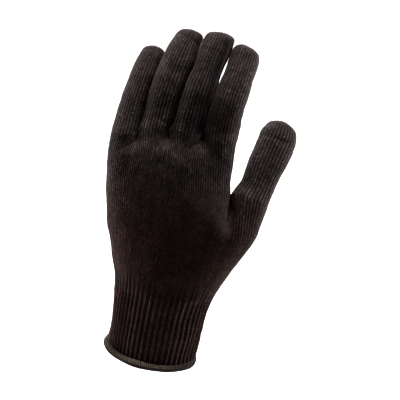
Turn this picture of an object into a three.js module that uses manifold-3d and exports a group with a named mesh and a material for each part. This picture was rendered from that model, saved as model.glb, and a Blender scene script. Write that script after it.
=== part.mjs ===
// Knitted glove liner, left hand, in the form that it has when worn: a rolled hem, a ribbed cuff, a seamless hand,
// four fingers and a thumb, each a hollow tube of knitted cloth.
// Millimetres. Origin: centre of the cuff's opening, in the plane of the hem's lower edge. +Z runs up the cuff to the
// fingers, +X to the thumb, and -Y is the back of the hand. The hand leans back from the cuff and the fingers curl to +Y.
import * as THREE from 'three';
import { mergeVertices } from 'three/addons/utils/BufferGeometryUtils.js';
import Module from 'manifold-3d';

// ------------------------------------------------------------------ named sizes
const GAP = 0.3;               // between two pieces
const WALL = 1.4;              // knitted cloth of the hand and fingers
const CUFF_WALL = 2.4;         // cuff, over the ribs
const RIB_DEPTH = 0.9;         // rib's height over the furrow
const RIBS = 52;               // ribs round the cuff
const CUFF_FROM = 4.9;         // where the cuff starts above the hem, along the centre line
const CUFF_TO = 57.0;          // where the ribs end and the hand starts
const LIFT = 0.6;              // the centre line's start over the hem's lower edge
const HEAD_TILT = 12.0;        // the hand's lean from the cuff's axis, degrees
const KNUCKLE_TILT = 8.0;      // further lean over the knuckles, degrees
const THUMB_CROTCH = { x: 36.4, s: 132.4 };
const HEM = { x: -1.1, y: 0, across: 32.4, deep: 27.9, rollX: 2.5, rollZ: 2.6, z: 2.6, square: 2.1 };
const KNIT = { color: 0x2b2220, roughness: 0.95, metalness: 0.0 };
const RIB_KNIT = { color: 0x241b19, roughness: 0.95, metalness: 0.0 };
const HEM_THREAD = { color: 0x2f2b26, roughness: 0.9, metalness: 0.0 };

// Sections of the hand along its centre line. s: distance from the hem; left: edge on the little finger's side;
// palm: edge on the index finger's side; wide: that edge with the thumb's root; front, back: depth; square: 2 = ellipse.
const HAND = [
  { s: 0.0, left: -33.2, palm: 32.4, wide: 32.4, front: 28.0, back: 28.0, square: 2.00 },
  { s: 10.0, left: -33.4, palm: 33.0, wide: 33.0, front: 28.0, back: 28.0, square: 2.00 },
  { s: 30.0, left: -34.2, palm: 34.0, wide: 34.0, front: 28.0, back: 28.0, square: 2.00 },
  { s: 42.0, left: -35.1, palm: 35.0, wide: 35.0, front: 27.6, back: 27.6, square: 2.00 },
  { s: 53.0, left: -36.2, palm: 35.6, wide: 37.0, front: 27.2, back: 27.0, square: 2.02 },
  { s: 63.0, left: -38.6, palm: 35.8, wide: 40.4, front: 26.8, back: 26.4, square: 2.05 },
  { s: 73.5, left: -41.9, palm: 36.0, wide: 45.0, front: 26.3, back: 25.6, square: 2.10 },
  { s: 84.0, left: -45.5, palm: 36.2, wide: 50.3, front: 25.6, back: 24.6, square: 2.15 },
  { s: 94.5, left: -49.0, palm: 36.4, wide: 55.6, front: 24.8, back: 23.6, square: 2.20 },
  { s: 105.0, left: -51.8, palm: 36.6, wide: 59.7, front: 24.0, back: 22.4, square: 2.25 },
  { s: 115.5, left: -54.0, palm: 36.8, wide: 61.7, front: 23.0, back: 21.0, square: 2.30 },
  { s: 125.5, left: -55.8, palm: 36.4, wide: 63.2, front: 21.7, back: 19.6, square: 2.35 },
  { s: 134.0, left: -57.0, palm: 35.3, wide: 64.4, front: 20.0, back: 18.4, square: 2.40 },
  { s: 146.0, left: -58.1, palm: 33.5, wide: 66.0, front: 17.0, back: 16.8, square: 2.45 },
  { s: 156.0, left: -58.5, palm: 32.7, wide: 68.0, front: 14.6, back: 15.2, square: 2.50 },
  { s: 168.0, left: -58.2, palm: 32.6, wide: 70.0, front: 12.6, back: 13.4, square: 2.50 },
];

// Points where two fingers part, from the little finger's outer edge to the index finger's: x and s.
const CROTCH = [
  { x: -58.3, s: 162.4 },
  { x: -38.7, s: 163.3 },
  { x: -17.2, s: 168.6 },
  { x: 7.9, s: 170.6 },
  { x: 32.7, s: 170.0 },
];

// Fingers, from the crotch up. head: lean towards the thumb at the root, middle and tip; curl: lean back at the root,
// past the middle joint and past the end joint; half: half width at the root, middle joint and end joint;
// cap: share of the width that the blunt tip keeps; behind: how far it stands behind the row of fingers at mid length
// and at the tip.
const FINGERS = [
  { name: 'little_finger', length: 70.4, head: [2.6, 7.7, 14.0], curl: [23, 38, 49], half: [9.9, 8.9, 8.8], cap: 0.52, behind: [3.4, 2.0] },
  { name: 'ring_finger', length: 84.6, head: [0.5, 9.5, 19.0], curl: [20, 34, 46], half: [10.7, 10.4, 10.2], cap: 0.52, behind: [1.3, 0.8] },
  { name: 'middle_finger', length: 81.4, head: [1.0, 10.5, 13.5], curl: [18, 31, 43], half: [12.0, 11.75, 11.6], cap: 0.62, behind: [-1.3, -1.6] },
  { name: 'index_finger', length: 74.2, head: [1.5, 7.2, 9.8], curl: [19, 33, 45], half: [12.3, 11.4, 11.1], cap: 0.54, behind: [-3.6, 1.5] },
];
const BEHIND = new THREE.Vector3(0, Math.cos(22 * Math.PI / 180), -Math.sin(22 * Math.PI / 180));
const FLAT = 0.90;             // a finger's depth as a share of its width
const FINGER_CAP = 10.5;       // length of the rounded tip

// Thumb. t: distance from its crotch; x, y: its centre line from the hand's centre plane; s: place along the hand;
// behind: how far it bends back, as for the fingers.
const THUMB = [
  { t: -75, x: 22.0, y: 0.0, s: 57.5, half: 15.0, behind: 0.0 },
  { t: -60, x: 27.5, y: 1.0, s: 72.5, half: 15.0, behind: 0.0 },
  { t: -45, x: 34.8, y: 2.0, s: 88.0, half: 15.0, behind: 0.0 },
  { t: -30, x: 41.8, y: 3.0, s: 103.0, half: 15.0, behind: 0.0 },
  { t: -15, x: 46.8, y: 4.0, s: 118.0, half: 14.8, behind: 0.0 },
  { t: 0, x: 50.7, y: 5.0, s: 132.4, half: 13.9, behind: 1.2 },
  { t: 12, x: 54.6, y: 6.5, s: 144.0, half: 12.5, behind: 4.0 },
  { t: 24, x: 57.3, y: 8.5, s: 155.0, half: 13.2, behind: 7.2 },
  { t: 36, x: 59.9, y: 11.0, s: 166.0, half: 14.0, behind: 10.4 },
  { t: 48, x: 62.3, y: 14.0, s: 176.5, half: 13.9, behind: 12.6 },
  { t: 64, x: 64.3, y: 18.2, s: 191.0, half: 12.9, behind: 14.0 },
];
const THUMB_LENGTH = 64.0;
const THUMB_CAP = 14.0;
const THUMB_FLAT = 0.88;

// ------------------------------------------------------------------ curves
const clamp = (x, a, b) => Math.min(Math.max(x, a), b);
const mix = (a, b, k) => a + (b - a) * k;
function smooth(a, b, x) {
  const t = clamp((x - a) / (b - a), 0, 1);
  return t * t * (3 - 2 * t);
}
const rad = THREE.MathUtils.degToRad;

// Smooth curve through one column of a table, over its first column.
function column(table, key, name, x) {
  const n = table.length;
  let i = 0;
  while (i < n - 2 && table[i + 1][key] <= x) i++;
  const slope = (j) => {
    if (j === 0) return (table[1][name] - table[0][name]) / (table[1][key] - table[0][key]);
    if (j === n - 1) return (table[j][name] - table[j - 1][name]) / (table[j][key] - table[j - 1][key]);
    const a = table[j][key] - table[j - 1][key];
    const b = table[j + 1][key] - table[j][key];
    const p = (table[j][name] - table[j - 1][name]) / a;
    const q = (table[j + 1][name] - table[j][name]) / b;
    return (p * b + q * a) / (a + b);
  };
  const h = table[i + 1][key] - table[i][key];
  const t = clamp((x - table[i][key]) / h, 0, 1);
  const t2 = t * t, t3 = t2 * t;
  return (2 * t3 - 3 * t2 + 1) * table[i][name] + (t3 - 2 * t2 + t) * h * slope(i)
    + (-2 * t3 + 3 * t2) * table[i + 1][name] + (t3 - t2) * h * slope(i + 1);
}

// The hand's centre line, in the plane x = 0.
const tilt = (s) => HEAD_TILT * smooth(46, 92, s) + KNUCKLE_TILT * smooth(136, 170, s);
const SPINE_STEP = 0.5;
const SPINE = [{ y: 0, z: LIFT }];
for (let s = SPINE_STEP; s < 260; s += SPINE_STEP) {
  const a = rad(tilt(s - SPINE_STEP / 2)), last = SPINE[SPINE.length - 1];
  SPINE.push({ y: last.y + Math.sin(a) * SPINE_STEP, z: last.z + Math.cos(a) * SPINE_STEP });
}
function spine(s) {
  const a = rad(tilt(s));
  const f = Math.max(s, 0) / SPINE_STEP, i = Math.min(Math.floor(f), SPINE.length - 2);
  const p = SPINE[i], q = SPINE[i + 1];
  const k = f - i;
  return {
    at: new THREE.Vector3(0, mix(p.y, q.y, k), s < 0 ? LIFT + s : mix(p.z, q.z, k)),
    along: new THREE.Vector3(0, Math.sin(a), Math.cos(a)),
    deep: new THREE.Vector3(0, Math.cos(a), -Math.sin(a)),
  };
}

// Ring of points on a superellipse: from the -side edge, over the front (-deep), to the +side edge and back behind.
function ring(center, side, deep, half, front, back, square, count) {
  const out = [];
  for (let i = 0; i < count; i++) {
    const a = Math.PI - (i / count) * 2 * Math.PI;
    const c = Math.cos(a), s = Math.sin(a);
    const x = Math.sign(c) * Math.pow(Math.abs(c), 2 / square) * half;
    const y = -Math.sign(s) * Math.pow(Math.abs(s), 2 / square) * (s > 0 ? front : back);
    out.push(center.clone().addScaledVector(side, x).addScaledVector(deep, y));
  }
  return out;
}

// Ring of the hand at s, set in by the cloth's thickness where inset is given.
function handRing(s, count, inset) {
  const { at, deep } = spine(s);
  const left = column(HAND, 's', 'left', s) + inset;
  const k = Math.pow(clamp((s - (THUMB_CROTCH.s - 34)) / 34, 0, 1), 2);
  const right = mix(column(HAND, 's', 'wide', s), column(HAND, 's', 'palm', s), k) - inset;
  return ring(at.clone().add(new THREE.Vector3((left + right) / 2, 0, 0)), new THREE.Vector3(1, 0, 0), deep,
    (right - left) / 2, column(HAND, 's', 'front', s) - inset, column(HAND, 's', 'back', s) - inset,
    column(HAND, 's', 'square', s), count);
}

// Top rings of the hand, which thin out into the web between the fingers: r runs 0 to 1 up to the crotches.
function webRing(r, count, inset) {
  const out = [];
  const xs = CROTCH.map((c) => c.x);
  for (let i = 0; i < count; i++) {
    const a = Math.PI - (i / count) * 2 * Math.PI;
    const c = Math.cos(a), s = Math.sin(a);
    const u = (c + 1) / 2;
    const x0 = mix(xs[0], xs[4], u);
    let j = 0;
    while (j < 3 && xs[j + 1] < x0) j++;
    const top = mix(CROTCH[j].s, CROTCH[j + 1].s, clamp((x0 - xs[j]) / (xs[j + 1] - xs[j]), 0, 1)) - 1.5 - inset;
    const at = mix(THUMB_CROTCH.s + 6, top, r);
    const thin = 1 - 0.86 * Math.pow(clamp((at - (top - 17)) / 17, 0, 1), 2.2);
    const sp = spine(at);
    const left = column(HAND, 's', 'left', at) + inset, right = column(HAND, 's', 'palm', at) - inset;
    const n = column(HAND, 's', 'square', at);
    const depth = (column(HAND, 's', s > 0 ? 'front' : 'back', at) - inset) * thin;
    out.push(sp.at.clone()
      .addScaledVector(new THREE.Vector3(1, 0, 0), (left + right) / 2 + Math.sign(c) * Math.pow(Math.abs(c), 2 / n) * (right - left) / 2)
      .addScaledVector(sp.deep, -Math.sign(s) * Math.pow(Math.abs(s), 2 / n) * depth));
  }
  return out;
}

// Centre line of a finger from its root, with its heading and curl at each step.
function fingerLine(k) {
  const f = FINGERS[k], a = CROTCH[k], b = CROTCH[k + 1];
  const A = spine(a.s).at.add(new THREE.Vector3(a.x, 0, 0));
  const B = spine(b.s).at.add(new THREE.Vector3(b.x, 0, 0));
  const steps = 160, step = f.length / steps;
  const rows = [];
  const p = spine((a.s + b.s) / 2).at.add(new THREE.Vector3((a.x + b.x) / 2, 0, 0));
  for (let i = 0; i <= steps; i++) {
    const q = i / steps;
    const head = rad(f.head[0] + (f.head[1] - f.head[0]) * smooth(0.05, 0.5, q) + (f.head[2] - f.head[1]) * smooth(0.45, 0.95, q));
    const curl = rad(f.curl[0] + (f.curl[1] - f.curl[0]) * smooth(0.24, 0.5, q) + (f.curl[2] - f.curl[1]) * smooth(0.55, 0.8, q));
    const back = f.behind[0] * smooth(0, 0.3, q) + (f.behind[1] - f.behind[0]) * smooth(0.45, 0.85, q);
    rows.push({ at: p.clone().addScaledVector(BEHIND, back), head, curl });
    p.add(new THREE.Vector3(Math.sin(head), Math.cos(head) * Math.sin(curl), Math.cos(head) * Math.cos(curl)).multiplyScalar(step));
  }
  return { rows, step, A, B, side: B.clone().sub(A).normalize(), half: B.distanceTo(A) / 2, mid: A.clone().add(B).multiplyScalar(0.5),
    s: (a.s + b.s) / 2 };
}
const LINES = FINGERS.map((_, k) => fingerLine(k));

// Ring of finger k at distance t from its root; inset sets it in by the wall, trim narrows it beside its neighbours.
function fingerRing(k, t, count, inset, trim) {
  const f = FINGERS[k], line = LINES[k];
  const length = f.length - inset, cap = FINGER_CAP - inset * 0.5;
  let along = clamp(t, 0, length), turn = 0;
  if (t > length - cap) {
    turn = ((t - (length - cap)) / cap) * Math.PI / 2;
    along = length - cap + cap * Math.sin(turn);
  }
  const fi = along / line.step, i = Math.min(Math.floor(fi), line.rows.length - 2), m = fi - i;
  const head = mix(line.rows[i].head, line.rows[i + 1].head, m), curl = mix(line.rows[i].curl, line.rows[i + 1].curl, m);
  let at = line.rows[i].at.clone().lerp(line.rows[i + 1].at, m);
  let side = new THREE.Vector3(Math.cos(head), -Math.sin(head) * Math.sin(curl), -Math.sin(head) * Math.cos(curl));
  let deep = new THREE.Vector3(0, Math.cos(curl), -Math.sin(curl));
  const q = along / f.length;
  let half = f.half[0] + (f.half[1] - f.half[0]) * smooth(0, 0.4, q) + (f.half[2] - f.half[1]) * smooth(0.4, 0.75, q)
    + 0.35 * Math.exp(-(((q - 0.37) / 0.07) ** 2)) + 0.25 * Math.exp(-(((q - 0.68) / 0.06) ** 2));
  let depth = half * FLAT;
  const root = 1 - smooth(0, 12, along);          // the root ring runs from crotch to crotch
  const sp = spine(line.s);
  side = line.side.clone().multiplyScalar(root).addScaledVector(side, 1 - root).normalize();
  deep = sp.deep.clone().multiplyScalar(root).addScaledVector(deep, 1 - root).normalize();
  half = mix(half, line.half, root) - trim - inset;
  depth += root * 1.3 - inset;
  if (t < 0) at = line.mid.clone().addScaledVector(sp.along, t);
  half *= f.cap + (1 - f.cap) * Math.pow(Math.max(Math.cos(turn), 0), 0.75);
  depth *= Math.max(Math.pow(Math.max(Math.cos(turn), 0), 0.9), 0.02);
  const out = ring(at, side, deep, half, depth, depth, 2.15, count);
  if (turn > 0) {                                 // the tip's closing line is crowned
    const up = new THREE.Vector3().crossVectors(side, deep).normalize();
    for (const p of out) {
      const x = p.clone().sub(at).dot(side) / half;
      p.addScaledVector(up, -1.6 * Math.sin(turn) * x * x);
    }
  }
  return out;
}

function thumbPoint(t) {
  const x = column(THUMB, 't', 'x', t), y = column(THUMB, 't', 'y', t), s = column(THUMB, 't', 's', t);
  const straight = 130;                           // past here the line goes straight on
  const a = rad(HEAD_TILT), sp = spine(Math.min(s, straight));
  return sp.at.clone().addScaledVector(new THREE.Vector3(0, Math.sin(a), Math.cos(a)), Math.max(s - straight, 0))
    .addScaledVector(sp.deep, y).add(new THREE.Vector3(x, 0, 0)).addScaledVector(BEHIND, column(THUMB, 't', 'behind', t));
}

// Ring of the thumb at distance t from its crotch.
function thumbRing(t, count, inset, trim) {
  const length = THUMB_LENGTH - inset, cap = THUMB_CAP - inset * 0.5;
  let along = Math.min(t, length), turn = 0;
  let half = column(THUMB, 't', 'half', along);
  if (t > length - cap) {
    turn = ((t - (length - cap)) / cap) * Math.PI / 2;
    along = length - cap + cap * Math.sin(turn);
  }
  const at = thumbPoint(along);
  const tangent = thumbPoint(Math.min(along + 1, THUMB_LENGTH)).sub(thumbPoint(along - 1)).normalize();
  const side = new THREE.Vector3(1, 0, 0).addScaledVector(tangent, -tangent.x).normalize();
  const deep = new THREE.Vector3().crossVectors(tangent, side);
  let depth = half * THUMB_FLAT - inset;
  half = half - inset - trim;
  half *= 0.42 + 0.58 * Math.pow(Math.max(Math.cos(turn), 0), 0.8);
  depth *= Math.max(Math.pow(Math.max(Math.cos(turn), 0), 0.9), 0.02);
  const out = ring(at, side, deep, half, depth, depth, 2.1, count);
  if (turn > 0) {
    for (const p of out) {
      const x = p.clone().sub(at).dot(side) / half;
      p.addScaledVector(tangent, -2.2 * Math.sin(turn) * x * x);
    }
  }
  return out;
}

// ------------------------------------------------------------------ solids from rings
// Closed skin through rings of equal count; the first and last rings are capped flat unless joinEnds links them.
function loft(rings, joinEnds = false) {
  const n = rings[0].length, position = [];
  for (const r of rings) for (const p of r) position.push(p.x, p.y, p.z);
  const index = [];
  const last = joinEnds ? rings.length : rings.length - 1;
  for (let j = 0; j < last; j++) {
    const a = j * n, b = ((j + 1) % rings.length) * n;
    for (let i = 0; i < n; i++) {
      const k = (i + 1) % n;
      index.push(a + i, a + k, b + k, a + i, b + k, b + i);
    }
  }
  if (!joinEnds) {
    // Caps are strips between the front and the back of the ring, so a narrow ring closes cleanly.
    const strip = (base, flip) => {
      const tri = (p, q, r) => (flip ? index.push(base + p, base + r, base + q) : index.push(base + p, base + q, base + r));
      for (let i = 0; i < n / 2; i++) {
        const f0 = i, f1 = i + 1, b0 = (n - i) % n, b1 = n - i - 1;
        if (f0 !== b0) tri(f0, b0, f1);
        if (f1 !== b1) tri(f1, b0, b1);
      }
    };
    strip(0, false);
    strip((rings.length - 1) * n, true);
  }
  const g = new THREE.BufferGeometry();
  g.setAttribute('position', new THREE.Float32BufferAttribute(position, 3));
  g.setIndex(index);
  return g;
}

const range = (a, b, n) => Array.from({ length: n + 1 }, (_, i) => mix(a, b, i / n));

// ------------------------------------------------------------------ booleans
const wasm = await Module();
wasm.setup();
function solid(geometry) {
  const g = mergeVertices(geometry.clone(), 1e-5);
  const mesh = new wasm.Mesh({
    numProp: 3,
    vertProperties: new Float32Array(g.attributes.position.array),
    triVerts: new Uint32Array(g.index.array),
  });
  mesh.merge();
  return new wasm.Manifold(mesh);
}
function toGeometry(manifold) {
  const m = manifold.getMesh();
  const g = new THREE.BufferGeometry();
  const position = [];
  for (let i = 0; i < m.numVert; i++) {
    for (let j = 0; j < 3; j++) position.push(m.vertProperties[i * m.numProp + j]);
  }
  g.setAttribute('position', new THREE.Float32BufferAttribute(position, 3));
  g.setIndex(Array.from(m.triVerts));
  return g;
}

// ------------------------------------------------------------------ hem
// A roll of cloth under overlock thread, round the mouth of the cuff.
function hemGeometry() {
  const around = 40, across = 8, rings = [];
  for (let j = 0; j < across; j++) {
    const a = (j / across) * 2 * Math.PI;
    const out = HEM.rollX * Math.cos(a), up = HEM.z - HEM.rollZ * Math.sin(a);
    rings.push(ring(new THREE.Vector3(HEM.x, HEM.y, up), new THREE.Vector3(1, 0, 0), new THREE.Vector3(0, 1, 0),
      HEM.across + out, HEM.deep + out, HEM.deep + out, HEM.square, around));
  }
  return loft(rings.reverse(), true);
}

// ------------------------------------------------------------------ cuff
// A tube whose outside is ribbed: each rib is three points, two on its crest and one in the furrow.
function cuffGeometry() {
  const count = RIBS * 3;
  const rows = [CUFF_FROM, 42, CUFF_TO - GAP / 2];
  const inner = [CUFF_TO - GAP / 2, 42, CUFF_FROM];
  const ribbed = (s) => {
    const base = handRing(s, count, 0), set = handRing(s, count, RIB_DEPTH);
    const fade = 1 - smooth(CUFF_TO - 8, CUFF_TO, s) * 0.7;
    return base.map((p, i) => (i % 3 < 2 ? p : p.clone().lerp(set[i], fade)));
  };
  return loft([...rows.map(ribbed), ...inner.map((s) => handRing(s, count, CUFF_WALL))], true);
}

// ------------------------------------------------------------------ hand
// Roots of the fingers and of the thumb inside the hand. t: distance below the crotch; sunk: how far the root lies
// under the hand's own surface there.
const FINGER_ROOT = [{ t: -14, sunk: 4.0 }, { t: -8, sunk: 1.2 }, { t: -4, sunk: 0.3 }, { t: -GAP / 2, sunk: 0.0 }];
const THUMB_ROOT = [{ t: -48, sunk: 5.0 }, { t: -36, sunk: 2.2 }, { t: -24, sunk: 0.7 }, { t: -12, sunk: 0.0 }, { t: -GAP / 2, sunk: 0.0 }];
function handGeometry() {
  const count = 32, rootCount = 18;
  const rows = [CUFF_TO + GAP / 2, 68, 80, 93, 106, 119, 132];
  const web = [0.3, 0.55, 0.75, 0.9, 1];
  const body = solid(loft([...rows.map((s) => handRing(s, count, 0)), ...web.map((r) => webRing(r, count, 0))]));
  const roots = FINGERS.map((_, k) => solid(loft(FINGER_ROOT.map((q) => fingerRing(k, q.t, rootCount, q.sunk, -0.12)))));
  const thumb = solid(loft(THUMB_ROOT.map((q) => thumbRing(q.t, rootCount, q.sunk, 0))));
  let outer = body.add(thumb);
  for (const r of roots) outer = outer.add(r);

  const through = { t: 3, sunk: 0 };              // the hollow runs on past the root, so that it is open
  const inRows = [CUFF_TO - 3, 68, 84, 101, 118, 132];
  const hollow = solid(loft([...inRows.map((s) => handRing(s, count, WALL)), ...web.map((r) => webRing(r, count, WALL))]));
  const inRoots = FINGERS.map((_, k) => solid(loft([...FINGER_ROOT.slice(0, 3), through]
    .map((q) => fingerRing(k, q.t, rootCount, WALL + q.sunk, 0)))));
  const inThumb = solid(loft([...THUMB_ROOT.slice(0, 4), through].map((q) => thumbRing(q.t, rootCount, WALL + q.sunk, 0))));
  let inner = hollow.add(inThumb);
  for (const r of inRoots) inner = inner.add(r);
  return toGeometry(outer.subtract(inner));
}

// ------------------------------------------------------------------ fingers and thumb
// A tube with a closed tip: the outside rings, then the inside rings back to the root.
function tube(outerRing, innerRing, length, cap) {
  const start = GAP / 2;
  const up = [start, 5, 13, 23, 32, 41, 50, 59].filter((t) => t < length - cap - 3);
  const outer = [...up, length - cap, length - cap * 0.6, length - cap * 0.25, length];
  const innerLength = length - WALL, innerCap = cap - WALL * 0.5;
  const inner = [start, 13, 27, 39, 51].filter((t) => t < innerLength - innerCap - 4);
  inner.push(innerLength - innerCap, innerLength - innerCap * 0.5, innerLength - innerCap * 0.15, innerLength);
  const outside = outer.map((t) => outerRing(t)), inside = inner.map((t) => innerRing(t));
  return toGeometry(solid(loft(outside)).subtract(solid(loft([innerRing(start - 2), ...inside]))));
}

// ------------------------------------------------------------------ assembly
function piece(name, geometry, material) {
  geometry.computeVertexNormals();
  const mesh = new THREE.Mesh(geometry, new THREE.MeshStandardMaterial(material));
  mesh.name = name;
  return mesh;
}

const group = new THREE.Group();
group.add(piece('hem', hemGeometry(), HEM_THREAD));
group.add(piece('cuff', cuffGeometry(), RIB_KNIT));
group.add(piece('hand', handGeometry(), KNIT));
const TUBE_COUNT = 16;         // points round a finger
FINGERS.forEach((f, k) => {
  const count = TUBE_COUNT;
  group.add(piece(f.name, tube((t) => fingerRing(k, t, count, 0, 0.2), (t) => fingerRing(k, t, count, WALL, 0),
    f.length, FINGER_CAP), KNIT));
});
group.add(piece('thumb', tube((t) => thumbRing(t, TUBE_COUNT, 0, 0), (t) => thumbRing(t, TUBE_COUNT, WALL, 0), THUMB_LENGTH, THUMB_CAP), KNIT));

export default group;
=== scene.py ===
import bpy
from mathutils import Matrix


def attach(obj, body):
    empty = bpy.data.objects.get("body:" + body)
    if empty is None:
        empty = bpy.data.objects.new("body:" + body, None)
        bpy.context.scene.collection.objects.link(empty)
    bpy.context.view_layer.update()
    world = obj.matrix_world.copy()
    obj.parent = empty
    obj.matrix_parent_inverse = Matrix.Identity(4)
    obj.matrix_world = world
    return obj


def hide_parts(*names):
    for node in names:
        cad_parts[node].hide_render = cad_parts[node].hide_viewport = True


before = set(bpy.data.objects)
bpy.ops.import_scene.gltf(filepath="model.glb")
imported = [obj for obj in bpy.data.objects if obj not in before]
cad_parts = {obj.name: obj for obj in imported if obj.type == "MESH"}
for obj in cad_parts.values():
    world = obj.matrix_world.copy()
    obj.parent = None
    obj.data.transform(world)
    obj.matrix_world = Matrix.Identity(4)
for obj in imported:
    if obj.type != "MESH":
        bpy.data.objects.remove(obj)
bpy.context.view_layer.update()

import math

import bpy
import numpy as np
from mathutils import Matrix, Vector

# A knitted glove liner, left hand, in its worn form. Lengths in this script are millimetres until a mesh is made.
# One welded surface carries every stitch across the cuff, the hand, the fingers and the thumb; it is then parted into
# the pieces, each with its own inner wall, so the knit runs on from piece to piece.

# ---------------------------------------------------------------- named sizes
LIFT = 0.6                 # start of the centre line over the hem's lower edge
HEAD_TILT = 12.0           # the hand's lean from the cuff's axis, degrees
KNUCKLE_TILT = 8.0         # further lean over the knuckles
CUFF_FROM, CUFF_TO = 2.4, 57.0
WALL = 1.25                # knitted cloth
CUFF_WALL = 2.2
RIB_DEPTH = 1.5
RIBS, FIRST_FURROW = 52, 2.31      # ribs round the cuff; the wale at which a furrow lies
COLUMNS = 4                # mesh columns a wale
CUFF_COURSES, CUFF_ROWS = 41, 3     # courses of stitches, and mesh rows a course
HAND_COURSES, HAND_ROWS = 50, 2
WEB_COURSES, WEB_ROWS = 24, 2
TUBE_COURSE, TUBE_ROWS = 1.45, 3
HEM = dict(x=-1.15, across=32.7, deep=28.0, roll_x=2.7, roll_z=2.85, z=2.6, square=2.1, tilt=0.022)
SEED = 20458

# Sections of the hand: s along its centre line, edges on the little finger's side, on the index finger's side and
# with the thumb's root, depth in front and behind, and the section's squareness (2 is an ellipse).
HAND = dict(cols=("s", "left", "palm", "wide", "front", "back", "square"), rows=[
    (0.0, -33.2, 32.4, 32.4, 28.0, 28.0, 2.00),
    (10.0, -33.4, 33.0, 33.0, 28.0, 28.0, 2.00),
    (30.0, -34.2, 34.0, 34.0, 28.0, 28.0, 2.00),
    (42.0, -35.1, 35.0, 35.0, 27.6, 27.6, 2.00),
    (53.0, -36.2, 35.6, 37.0, 27.2, 27.0, 2.02),
    (63.0, -38.6, 35.8, 40.4, 26.8, 26.4, 2.05),
    (73.5, -41.9, 36.0, 45.0, 26.3, 25.6, 2.10),
    (84.0, -45.5, 36.2, 50.3, 25.6, 24.6, 2.15),
    (94.5, -49.0, 36.4, 55.6, 24.8, 23.6, 2.20),
    (105.0, -51.8, 36.6, 59.7, 24.0, 22.4, 2.25),
    (115.5, -54.0, 36.8, 61.7, 23.0, 21.0, 2.30),
    (125.5, -55.8, 36.4, 63.2, 21.7, 19.6, 2.35),
    (134.0, -57.0, 35.3, 64.4, 20.0, 18.4, 2.40),
    (146.0, -58.1, 33.5, 66.0, 17.0, 16.8, 2.45),
    (156.0, -58.5, 32.7, 68.0, 14.6, 15.2, 2.50),
    (168.0, -58.2, 32.6, 70.0, 12.6, 13.4, 2.50),
])
# Points where two fingers part, from the little finger's outer edge to the index finger's.
CROTCH = dict(cols=("x", "s"), rows=[(-58.3, 162.4), (-38.7, 163.3), (-17.2, 168.6), (7.9, 170.6), (32.7, 170.0)])
THUMB_CROTCH = dict(x=36.4, s=132.4)
# Fingers from the crotch up: lean to the thumb and curl at three places; half widths at four; depth share; the blunt
# tip's share of the width; how much higher the tip is on the thumb's side; how far it stands behind its neighbours at
# mid length and at the tip.
FINGERS = dict(cols=("name", "length", "h0", "h1", "h2", "c0", "c1", "c2", "w0", "w1", "w2", "w3", "flat", "blunt", "skew",
                     "back0", "back1"), rows=[
    ("little", 70.7, 2.7, 7.9, 14.0, 23, 38, 49, 10.0, 9.1, 9.0, 9.1, 0.90, 0.55, 1.5, 3.4, 2.0),
    ("ring", 85.0, 0.5, 9.5, 19.0, 20, 34, 46, 11.2, 11.2, 10.8, 10.2, 0.90, 0.50, 1.9, 1.3, 0.8),
    ("middle", 81.7, 1.0, 10.5, 13.5, 18, 31, 43, 13.1, 13.0, 11.4, 11.6, 0.90, 0.60, 1.3, -1.3, -1.6),
    ("index", 74.2, 0.0, 9.6, 7.4, 19, 33, 45, 13.2, 12.4, 11.6, 11.1, 0.90, 0.55, -1.0, -2.2, 1.5),
])
WIDTH_AT = (0.10, 0.38, 0.62, 0.86)        # shares of the length at which a finger's half widths stand
# Where two fingers touch: slant of the surface between them; how far it lies to the thumb's side of their middle; how
# far each one's flank falls away beside it; and how much painted shade darkens its yarn there, in the crevice where it
# is pressed flat.
CONTACTS = dict(cols=("left", "right", "slant", "over", "fall_left", "fall_right", "painted_shade_left", "painted_shade_right"), rows=[
    ("little", "ring", 0.12, 1.8, 2.4, 0.8, 0.75, 0.45),
    ("ring", "middle", 0.02, 2.9, 2.8, 0.8, 0.92, 0.45),
    ("middle", "index", 0.32, 0.6, 3.8, 1.0, 1.00, 0.50),
])


def pressed(q):
    """Share of the contact's offset at a share of a finger's length."""
    return smooth(0.02, 0.16, q) * (1 - smooth(0.66, 0.90, q))


FINGER_CAP = 10.5
# Thumb: t from its crotch; x and y of its centre line; s along the hand; half width; how far it bends back out of
# the hand's plane, away from the camera.
THUMB = dict(cols=("t", "x", "y", "s", "half", "back"), rows=[
    (-75.0, 22.0, 0.0, 57.5, 15.0, 0.0),
    (-60.0, 27.5, 1.0, 72.5, 15.0, 0.0),
    (-45.0, 34.8, 2.0, 88.0, 15.0, 0.0),
    (-30.0, 41.8, 3.0, 103.0, 15.0, 0.0),
    (-15.0, 46.8, 4.0, 118.0, 14.8, 0.0),
    (0.0, 51.0, 5.0, 132.4, 13.9, 1.2),
    (6.0, 53.2, 5.7, 138.2, 12.75, 2.5),
    (12.0, 54.8, 6.5, 144.0, 12.6, 4.0),
    (18.0, 55.9, 7.5, 149.6, 13.1, 5.6),
    (24.0, 57.1, 8.5, 155.0, 13.3, 7.2),
    (36.0, 59.6, 11.0, 166.0, 14.05, 10.4),
    (48.0, 62.3, 14.0, 176.5, 13.9, 12.6),
    (64.0, 64.3, 18.2, 191.0, 12.9, 14.0),
])
THUMB_LENGTH, THUMB_CAP, THUMB_FLAT = 64.0, 14.0, 0.88
# Wales on one side of the glove: the fingers' shares of the hand, then the thumb's.
BOUND = [0, 15, 32, 49, 66, 82]
PALM_WALES, WIDE_WALES = 66, 82
ORDER = ["little", "ring", "middle", "index"]
THUMB_BLEND, FINGER_BLEND = 34.0, 17.0      # how far below a crotch its valley starts

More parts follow.
